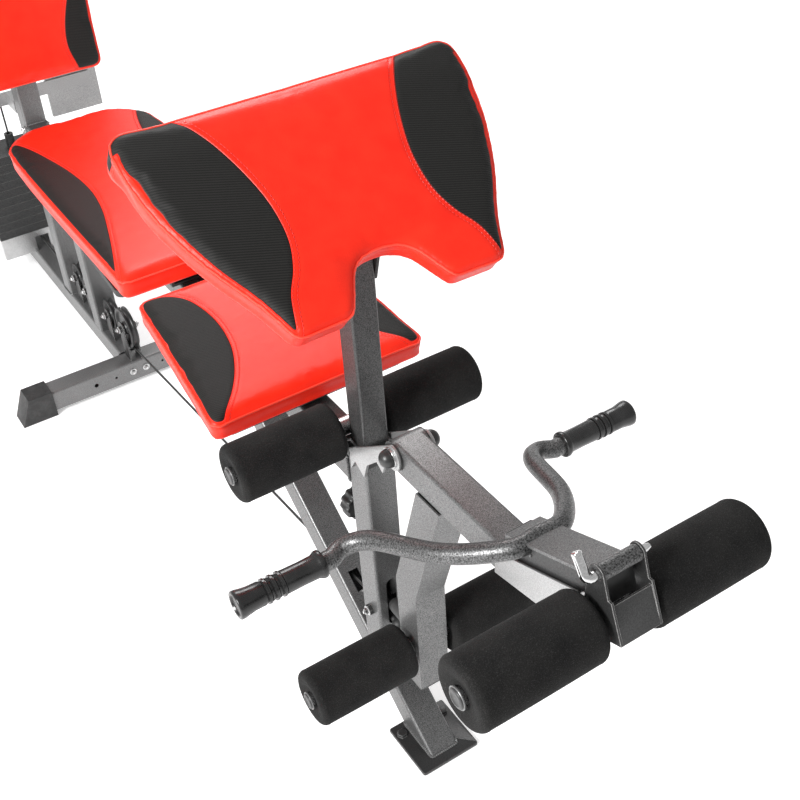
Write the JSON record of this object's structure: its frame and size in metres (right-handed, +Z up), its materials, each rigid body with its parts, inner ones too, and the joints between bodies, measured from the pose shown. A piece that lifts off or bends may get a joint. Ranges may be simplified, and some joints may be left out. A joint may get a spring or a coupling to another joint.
{
  "type": "adjustable weight bench",
  "caption": "Weight bench with two red seat pads, backrest, height-adjustable preacher pad, leg and arm-curl lever with foam rollers, and a cable weight stack.",
  "frame": {"origin": "on the floor, at the middle of the front foot plate's underside", "axes": "+X to the right seen from the front, +Y from the lever end to the weight stack, +Z up"},
  "size_m": [0.652, 2.658, 1.348],
  "materials": {
    "hammered_steel": "hammertone grey paint",
    "grey_steel": "silver-grey paint",
    "dark_steel": "black paint",
    "zinc_steel": "zinc plated",
    "black_plastic": "moulded",
    "black_rubber": "moulded rubber",
    "foam": "closed-cell foam",
    "red_vinyl": "stitched vinyl with black panels",
    "board": "black-faced board",
    "iron": "painted",
    "black_cable": "plastic-coated steel cable"
  },
  "bodies": {
    "frame": {"front_foot_plate": "dark_steel", "front_leg": "hammered_steel", "front_post": "hammered_steel", "post_collar": "black_plastic", "main_beam": "hammered_steel", "middle_strut": "hammered_steel", "floor_rail": "grey_steel", "middle_stabilizer": "grey_steel", "rear_stabilizer": "grey_steel", "stabilizer_caps": "black_rubber", "rear_column": "grey_steel", "top_beam": "grey_steel", "pivot_ears": "grey_steel", "pivot_bolt": "zinc_steel", "knee_shaft": "zinc_steel", "seat_frame": "hammered_steel", "front_seat_pad": "red_vinyl", "middle_seat_frame": "board", "middle_seat_pad": "red_vinyl", "backrest_frame": "board", "backrest_pad": "red_vinyl", "guide_rods": "zinc_steel", "shroud_panels": "grey_steel", "cable": "black_cable", "pulley_brackets": "dark_steel"},
    "lever": {"lever_arm": "hammered_steel", "lever_saddle": "grey_steel", "lever_top_plate": "hammered_steel", "lever_slider": "dark_steel", "lever_plugs": "black_plastic", "pivot_bushings": "black_plastic", "hanging_tube": "hammered_steel", "rubber_stop": "black_rubber", "shin_shaft": "zinc_steel", "curl_bar": "hammered_steel", "curl_grips": "black_rubber", "pin_sleeve": "zinc_steel"},
    "yoke": {"end_yoke": "dark_steel", "end_shaft": "zinc_steel"},
    "l_pin": {"l_pin": "zinc_steel"},
    "preacher": {"preacher_post": "hammered_steel", "preacher_board": "board", "preacher_pad": "red_vinyl"},
    "lock_knob": {"lock_knob": "black_plastic"},
    "weights": {"weight_plates": "iron"},
    "selector_pin": {"selector_pin": "zinc_steel"},
    "knee_roller_left": {"knee_roller_left": "foam"},
    "knee_roller_right": {"knee_roller_right": "foam"},
    "shin_roller_left": {"shin_roller_left": "foam"},
    "shin_roller_right": {"shin_roller_right": "foam"},
    "end_roller_left": {"end_roller_left": "foam"},
    "end_roller_right": {"end_roller_right": "foam"},
    "low_pulley": {"low_pulley": "black_plastic"},
    "front_pulley": {"front_pulley": "black_plastic"},
    "guide_pulley_1": {"guide_pulley_1": "black_plastic"},
    "guide_pulley_2": {"guide_pulley_2": "black_plastic"},
    "guide_pulley_3": {"guide_pulley_3": "black_plastic"},
    "base_pulley": {"base_pulley": "black_plastic"},
    "top_pulley_front": {"top_pulley_front": "black_plastic"},
    "top_pulley_rear": {"top_pulley_rear": "black_plastic"}
  },
  "joints": [
    {"name": "lever_pivot", "type": "hinge", "parent": "frame", "child": "lever", "pos_m": [0, 0.014, 0.604], "axis": [-1, 0, 0], "range_deg": [0, 65]},
    {"name": "yoke_swing", "type": "hinge", "parent": "lever", "child": "yoke", "pos_m": [0, -0.382, 0.722], "axis": [-1, 0, 0], "range_deg": [0, 60]},
    {"name": "l_pin_pull", "type": "slide", "parent": "lever", "child": "l_pin", "axis": [-1, 0, 0], "range_m": [0, 0.09]},
    {"name": "preacher_height", "type": "slide", "parent": "frame", "child": "preacher", "axis": [0, 0, 1], "range_m": [-0.1, 0.02]},
    {"name": "lock_knob_turn", "type": "hinge", "parent": "frame", "child": "lock_knob", "pos_m": [0, 0.17, 0.39], "axis": [0, 1, 0], "range_deg": [0, 300]},
    {"name": "weight_lift", "type": "slide", "parent": "frame", "child": "weights", "axis": [0, 0, 1], "range_m": [0, 0.4]},
    {"name": "selector_pull", "type": "slide", "parent": "weights", "child": "selector_pin", "axis": [0, 1, 0], "range_m": [0, 0.075]},
    {"name": "knee_roller_left_spin", "type": "hinge", "parent": "frame", "child": "knee_roller_left", "pos_m": [0, 0.159, 0.557], "axis": [1, 0, 0], "continuous": true},
    {"name": "knee_roller_right_spin", "type": "hinge", "parent": "frame", "child": "knee_roller_right", "pos_m": [0, 0.159, 0.557], "axis": [1, 0, 0], "continuous": true},
    {"name": "shin_roller_left_spin", "type": "hinge", "parent": "lever", "child": "shin_roller_left", "pos_m": [0, 0.009, 0.235], "axis": [1, 0, 0], "continuous": true},
    {"name": "shin_roller_right_spin", "type": "hinge", "parent": "lever", "child": "shin_roller_right", "pos_m": [0, 0.009, 0.235], "axis": [1, 0, 0], "continuous": true},
    {"name": "end_roller_left_spin", "type": "hinge", "parent": "yoke", "child": "end_roller_left", "pos_m": [0, -0.378, 0.65], "axis": [1, 0, 0], "continuous": true},
    {"name": "end_roller_right_spin", "type": "hinge", "parent": "yoke", "child": "end_roller_right", "pos_m": [0, -0.378, 0.65], "axis": [1, 0, 0], "continuous": true},
    {"name": "low_pulley_spin", "type": "hinge", "parent": "frame", "child": "low_pulley", "pos_m": [0, 0.121, 0.216], "axis": [-1, 0, 0], "continuous": true},
    {"name": "front_pulley_spin", "type": "hinge", "parent": "frame", "child": "front_pulley", "pos_m": [0, 1.228, 0.1409], "axis": [-1, 0, 0], "continuous": true},
    {"name": "guide_pulley_1_spin", "type": "hinge", "parent": "frame", "child": "guide_pulley_1", "pos_m": [0, 1.324, 0.1289], "axis": [-1, 0, 0], "continuous": true},
    {"name": "guide_pulley_2_spin", "type": "hinge", "parent": "frame", "child": "guide_pulley_2", "pos_m": [0, 1.456, 0.1289], "axis": [-1, 0, 0], "continuous": true},
    {"name": "guide_pulley_3_spin", "type": "hinge", "parent": "frame", "child": "guide_pulley_3", "pos_m": [0, 1.532, 0.1289], "axis": [-1, 0, 0], "continuous": true},
    {"name": "base_pulley_spin", "type": "hinge", "parent": "frame", "child": "base_pulley", "pos_m": [0, 2.1159, 0.1409], "axis": [-1, 0, 0], "continuous": true},
    {"name": "top_pulley_front_spin", "type": "hinge", "parent": "frame", "child": "top_pulley_front", "pos_m": [0, 1.9459, 1.284], "axis": [-1, 0, 0], "continuous": true},
    {"name": "top_pulley_rear_spin", "type": "hinge", "parent": "frame", "child": "top_pulley_rear", "pos_m": [0, 2.1159, 1.284], "axis": [-1, 0, 0], "continuous": true}
  ],
  "couplings": [
    {"joint": "low_pulley_spin", "follows": "weight_lift", "rad_per_m": 55.866},
    {"joint": "front_pulley_spin", "follows": "weight_lift", "rad_per_m": 21.787},
    {"joint": "guide_pulley_1_spin", "follows": "weight_lift", "rad_per_m": 29.498},
    {"joint": "guide_pulley_2_spin", "follows": "weight_lift", "rad_per_m": 29.498},
    {"joint": "guide_pulley_3_spin", "follows": "weight_lift", "rad_per_m": 29.498},
    {"joint": "base_pulley_spin", "follows": "weight_lift", "rad_per_m": 21.787},
    {"joint": "top_pulley_front_spin", "follows": "weight_lift", "rad_per_m": 21.787},
    {"joint": "top_pulley_rear_spin", "follows": "weight_lift", "rad_per_m": 21.787}
  ]
}
